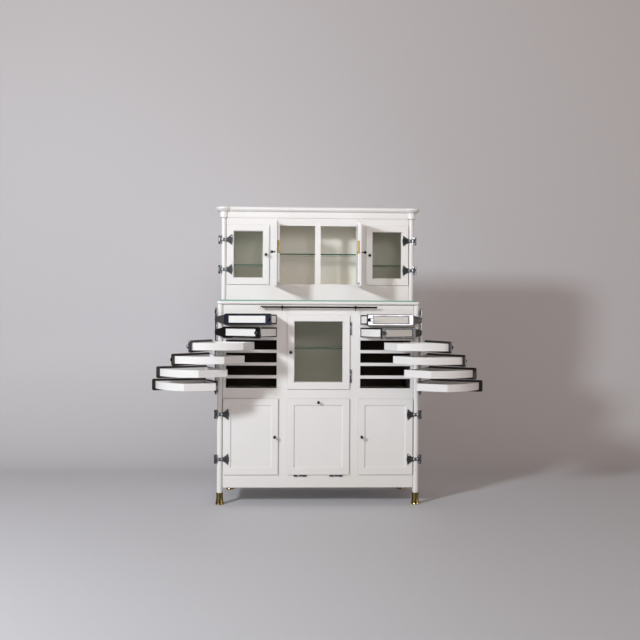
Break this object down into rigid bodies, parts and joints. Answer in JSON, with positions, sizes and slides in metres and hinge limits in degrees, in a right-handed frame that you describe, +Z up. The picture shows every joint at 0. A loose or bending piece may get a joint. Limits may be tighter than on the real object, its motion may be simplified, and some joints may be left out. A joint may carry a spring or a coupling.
{
  "type": "dental cabinet",
  "caption": "White enamelled dental cabinet: swing-out drawers, cupboard doors and a drop front under a glass worktop, with a glazed upper unit and cornice.",
  "frame": {"origin": "middle of the underside of the left front foot, at floor level; the centre line is at X 0.504 and the base unit's face frame at Y -0.008", "axes": "+X to the right as seen from the front, +Y to the back, +Z up"},
  "size_m": [1.6506, 0.7278, 1.549],
  "materials": {
    "white_enamel": "satin",
    "nickel": "polished",
    "brass": "polished",
    "glass": "clear"
  },
  "bodies": {
    "cabinet": {"base_face_frame": "white_enamel", "upper_face_frame": "white_enamel", "carcass_panels": "white_enamel", "posts": "white_enamel", "ferrule_feet": "brass", "worktop_moulding": "white_enamel", "worktop_glass": "glass", "towel_rail": "nickel", "fixed_fittings": "nickel", "cornice": "white_enamel", "glass_shelves": "glass"},
    "lower_left_door": {"lower_left_door": "white_enamel", "lower_left_door_hinges": "nickel"},
    "lower_left_door_knob": {"lower_left_door_knob": "nickel"},
    "upper_left_door": {"upper_left_door": "white_enamel", "upper_left_door_pane": "glass", "upper_left_door_hinges": "nickel"},
    "upper_left_door_knob": {"upper_left_door_knob": "nickel"},
    "centre_left_door": {"centre_left_door": "white_enamel", "centre_left_door_pane": "glass"},
    "centre_left_door_knob": {"centre_left_door_knob": "nickel"},
    "lower_right_door": {"lower_right_door": "white_enamel", "lower_right_door_hinges": "nickel"},
    "lower_right_door_knob": {"lower_right_door_knob": "nickel"},
    "upper_right_door": {"upper_right_door": "white_enamel", "upper_right_door_pane": "glass", "upper_right_door_hinges": "nickel"},
    "upper_right_door_knob": {"upper_right_door_knob": "nickel"},
    "centre_right_door": {"centre_right_door": "white_enamel", "centre_right_door_pane": "glass"},
    "centre_right_door_knob": {"centre_right_door_knob": "nickel"},
    "glazed_door": {"glazed_door": "white_enamel", "glazed_door_pane": "glass"},
    "glazed_door_knob": {"glazed_door_knob": "nickel"},
    "drop_front": {"drop_front": "white_enamel"},
    "drop_front_knob": {"drop_front_knob": "nickel"},
    "left_drawer_1": {"left_drawer_1_tray": "white_enamel", "left_drawer_1_front": "nickel"},
    "left_drawer_2": {"left_drawer_2_tray": "white_enamel", "left_drawer_2_front": "nickel"},
    "left_drawer_3": {"left_drawer_3_tray": "white_enamel", "left_drawer_3_front": "nickel"},
    "left_drawer_4": {"left_drawer_4_tray": "white_enamel", "left_drawer_4_front": "nickel"},
    "left_drawer_5": {"left_drawer_5_tray": "white_enamel", "left_drawer_5_front": "nickel"},
    "left_drawer_6": {"left_drawer_6_tray": "white_enamel", "left_drawer_6_front": "nickel"},
    "right_drawer_1": {"right_drawer_1_tray": "white_enamel", "right_drawer_1_front": "nickel"},
    "right_drawer_2": {"right_drawer_2_tray": "white_enamel", "right_drawer_2_front": "nickel"},
    "right_drawer_3": {"right_drawer_3_tray": "white_enamel", "right_drawer_3_front": "nickel"},
    "right_drawer_4": {"right_drawer_4_tray": "white_enamel", "right_drawer_4_front": "nickel"},
    "right_drawer_5": {"right_drawer_5_tray": "white_enamel", "right_drawer_5_front": "nickel"},
    "right_drawer_6": {"right_drawer_6_tray": "white_enamel", "right_drawer_6_front": "nickel"}
  },
  "joints": [
    {"name": "lower_left_door_swing", "type": "hinge", "parent": "cabinet", "child": "lower_left_door", "pos_m": [-0.021, -0.012, 0.34725], "axis": [0, 0, -1], "range_deg": [0, 165]},
    {"name": "lower_left_door_knob_turn", "type": "hinge", "parent": "lower_left_door", "child": "lower_left_door_knob", "pos_m": [0.281, -0.016, 0.34725], "axis": [0, -1, 0], "range_deg": [0, 90]},
    {"name": "upper_left_door_swing", "type": "hinge", "parent": "cabinet", "child": "upper_left_door", "pos_m": [-0.021, 0.188, 1.29525], "axis": [0, 0, -1], "range_deg": [0, 165]},
    {"name": "upper_left_door_knob_turn", "type": "hinge", "parent": "upper_left_door", "child": "upper_left_door_knob", "pos_m": [0.226, 0.184, 1.29525], "axis": [0, -1, 0], "range_deg": [0, 90]},
    {"name": "centre_left_door_swing", "type": "hinge", "parent": "cabinet", "child": "centre_left_door", "pos_m": [0.284, 0.188, 1.296], "axis": [0, 0, -1], "range_deg": [-90, 15]},
    {"name": "centre_left_door_knob_turn", "type": "hinge", "parent": "centre_left_door", "child": "centre_left_door_knob", "pos_m": [0.28, -0.009, 1.296], "axis": [-1, 0, 0], "range_deg": [0, 90]},
    {"name": "lower_right_door_swing", "type": "hinge", "parent": "cabinet", "child": "lower_right_door", "pos_m": [1.029, -0.012, 0.34725], "axis": [0, 0, 1], "range_deg": [0, 165]},
    {"name": "lower_right_door_knob_turn", "type": "hinge", "parent": "lower_right_door", "child": "lower_right_door_knob", "pos_m": [0.727, -0.016, 0.34725], "axis": [0, -1, 0], "range_deg": [0, 90]},
    {"name": "upper_right_door_swing", "type": "hinge", "parent": "cabinet", "child": "upper_right_door", "pos_m": [1.029, 0.188, 1.29525], "axis": [0, 0, 1], "range_deg": [0, 165]},
    {"name": "upper_right_door_knob_turn", "type": "hinge", "parent": "upper_right_door", "child": "upper_right_door_knob", "pos_m": [0.782, 0.184, 1.29525], "axis": [0, -1, 0], "range_deg": [0, 90]},
    {"name": "centre_right_door_swing", "type": "hinge", "parent": "cabinet", "child": "centre_right_door", "pos_m": [0.724, 0.188, 1.296], "axis": [0, 0, 1], "range_deg": [-88.3, 16.7]},
    {"name": "centre_right_door_knob_turn", "type": "hinge", "parent": "centre_right_door", "child": "centre_right_door_knob", "pos_m": [0.72215, -0.00903, 1.296], "axis": [0.9996, -0.0297, 0], "range_deg": [0, 90]},
    {"name": "glazed_door_swing", "type": "hinge", "parent": "cabinet", "child": "glazed_door", "pos_m": [0.6685, -0.012, 0.781], "axis": [0, 0, 1], "range_deg": [0, 95]},
    {"name": "glazed_door_knob_turn", "type": "hinge", "parent": "glazed_door", "child": "glazed_door_knob", "pos_m": [0.361, -0.016, 0.781], "axis": [0, -1, 0], "range_deg": [0, 90]},
    {"name": "drop_front_swing", "type": "hinge", "parent": "cabinet", "child": "drop_front", "pos_m": [0.504, -0.012, 0.148], "axis": [1, 0, 0], "range_deg": [0, 90]},
    {"name": "drop_front_knob_turn", "type": "hinge", "parent": "drop_front", "child": "drop_front_knob", "pos_m": [0.504, -0.016, 0.525], "axis": [0, -1, 0], "range_deg": [0, 90]},
    {"name": "left_drawer_1_swing", "type": "hinge", "parent": "cabinet", "child": "left_drawer_1", "pos_m": [-0.021, -0.012, 0.9488], "axis": [0, 0, -1], "range_deg": [-27.2, 140.8]},
    {"name": "left_drawer_2_swing", "type": "hinge", "parent": "cabinet", "child": "left_drawer_2", "pos_m": [-0.021, -0.012, 0.8833], "axis": [0, 0, -1], "range_deg": [-42.9, 125.1]},
    {"name": "left_drawer_3_swing", "type": "hinge", "parent": "cabinet", "child": "left_drawer_3", "pos_m": [-0.021, -0.012, 0.8178], "axis": [0, 0, -1], "range_deg": [-107.4, 60.6]},
    {"name": "left_drawer_4_swing", "type": "hinge", "parent": "cabinet", "child": "left_drawer_4", "pos_m": [-0.021, -0.012, 0.7523], "axis": [0, 0, -1], "range_deg": [-125.1, 42.9]},
    {"name": "left_drawer_5_swing", "type": "hinge", "parent": "cabinet", "child": "left_drawer_5", "pos_m": [-0.021, -0.012, 0.6868], "axis": [0, 0, -1], "range_deg": [-148, 20]},
    {"name": "left_drawer_6_swing", "type": "hinge", "parent": "cabinet", "child": "left_drawer_6", "pos_m": [-0.021, -0.012, 0.6213], "axis": [0, 0, -1], "range_deg": [-161.9, 6.1]},
    {"name": "right_drawer_1_swing", "type": "hinge", "parent": "cabinet", "child": "right_drawer_1", "pos_m": [1.029, -0.012, 0.9488], "axis": [0, 0, 1], "range_deg": [-25.9, 142.1]},
    {"name": "right_drawer_2_swing", "type": "hinge", "parent": "cabinet", "child": "right_drawer_2", "pos_m": [1.029, -0.012, 0.8833], "axis": [0, 0, 1], "range_deg": [-44.6, 123.4]},
    {"name": "right_drawer_3_swing", "type": "hinge", "parent": "cabinet", "child": "right_drawer_3", "pos_m": [1.029, -0.012, 0.8178], "axis": [0, 0, 1], "range_deg": [-107.5, 60.5]},
    {"name": "right_drawer_4_swing", "type": "hinge", "parent": "cabinet", "child": "right_drawer_4", "pos_m": [1.029, -0.012, 0.7523], "axis": [0, 0, 1], "range_deg": [-123, 45]},
    {"name": "right_drawer_5_swing", "type": "hinge", "parent": "cabinet", "child": "right_drawer_5", "pos_m": [1.029, -0.012, 0.6868], "axis": [0, 0, 1], "range_deg": [-138.5, 29.5]},
    {"name": "right_drawer_6_swing", "type": "hinge", "parent": "cabinet", "child": "right_drawer_6", "pos_m": [1.029, -0.012, 0.6213], "axis": [0, 0, 1], "range_deg": [-153.8, 14.2]}
  ]
}
